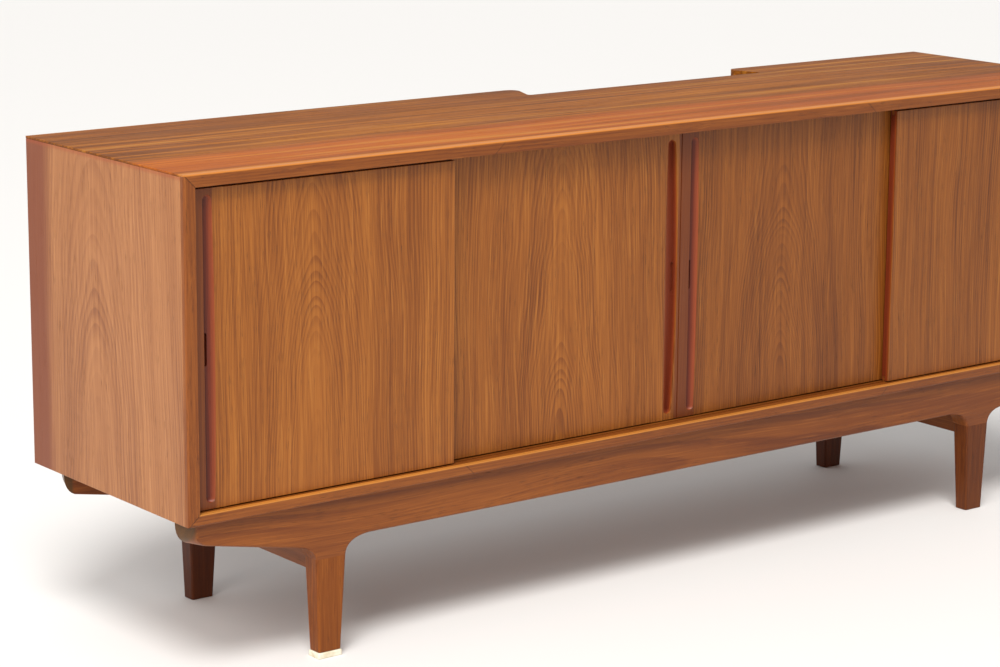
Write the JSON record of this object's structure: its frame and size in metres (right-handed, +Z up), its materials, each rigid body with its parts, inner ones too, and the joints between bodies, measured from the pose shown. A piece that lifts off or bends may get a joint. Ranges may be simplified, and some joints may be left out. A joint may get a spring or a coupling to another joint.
{
  "type": "sideboard",
  "caption": "Long low wooden sideboard with sliding doors that have carved full-height pulls, on a leg frame with stepped aprons and tapered legs.",
  "frame": {"origin": "on the floor under the middle of the case", "axes": "+X along the length, to the right of someone facing the doors; -Y out of the doors; +Z up"},
  "size_m": [2, 0.48, 0.8],
  "materials": {
    "teak_veneer": "oiled teak veneer",
    "teak_solid": "oiled solid teak",
    "back_plywood": "plain stained plywood",
    "zinc_steel": "zinc-plated steel",
    "white_pad": "white levelling pad"
  },
  "bodies": {
    "root": {"top_board": "teak_veneer", "bottom_board": "teak_veneer", "side_board_left": "teak_veneer", "side_board_right": "teak_veneer", "lipping_top": "teak_solid", "lipping_bottom": "teak_solid", "lipping_left": "teak_solid", "lipping_right": "teak_solid", "back_panel": "back_plywood", "partition": "teak_veneer", "lower_track": "teak_solid", "upper_track": "teak_solid", "shelf_left": "teak_veneer", "shelf_strip_left": "teak_solid", "shelf_right": "teak_veneer", "shelf_strip_right": "teak_solid", "shelf_pin_1": "zinc_steel", "shelf_pin_2": "zinc_steel", "shelf_pin_3": "zinc_steel", "shelf_pin_4": "zinc_steel", "shelf_pin_5": "zinc_steel", "shelf_pin_6": "zinc_steel", "shelf_pin_7": "zinc_steel", "shelf_pin_8": "zinc_steel", "front_apron": "teak_solid", "rear_apron": "teak_solid", "cross_rail_left": "teak_solid", "cross_rail_right": "teak_solid", "leg_front_left": "teak_solid", "leg_front_right": "teak_solid", "leg_rear_left": "teak_solid", "leg_rear_right": "teak_solid", "foot_pad": "white_pad", "stand_screw_1": "zinc_steel", "stand_screw_2": "zinc_steel", "stand_screw_3": "zinc_steel", "stand_screw_4": "zinc_steel", "stand_screw_5": "zinc_steel", "stand_screw_6": "zinc_steel"},
    "door_front_left": {"door_front_left_stile": "teak_solid", "door_front_left_panel": "teak_veneer", "door_front_left_edge": "teak_solid", "door_front_left_lower_runner": "teak_solid", "door_front_left_upper_runner": "teak_solid"},
    "door_rear_left": {"door_rear_left_stile": "teak_solid", "door_rear_left_panel": "teak_veneer", "door_rear_left_edge": "teak_solid", "door_rear_left_lower_runner": "teak_solid", "door_rear_left_upper_runner": "teak_solid"},
    "door_rear_right": {"door_rear_right_stile": "teak_solid", "door_rear_right_panel": "teak_veneer", "door_rear_right_edge": "teak_solid", "door_rear_right_lower_runner": "teak_solid", "door_rear_right_upper_runner": "teak_solid"},
    "door_front_right": {"door_front_right_stile": "teak_solid", "door_front_right_panel": "teak_veneer", "door_front_right_edge": "teak_solid", "door_front_right_lower_runner": "teak_solid", "door_front_right_upper_runner": "teak_solid"}
  },
  "joints": [
    {"name": "front_left_slide", "type": "slide", "parent": "root", "child": "door_front_left", "axis": [1, 0, 0], "range_m": [0, 0.4895]},
    {"name": "rear_left_slide", "type": "slide", "parent": "root", "child": "door_rear_left", "axis": [-1, 0, 0], "range_m": [0, 0.4725]},
    {"name": "rear_right_slide", "type": "slide", "parent": "root", "child": "door_rear_right", "axis": [1, 0, 0], "range_m": [0, 0.4725]},
    {"name": "front_right_slide", "type": "slide", "parent": "root", "child": "door_front_right", "axis": [-1, 0, 0], "range_m": [0, 0.4895]}
  ]
}
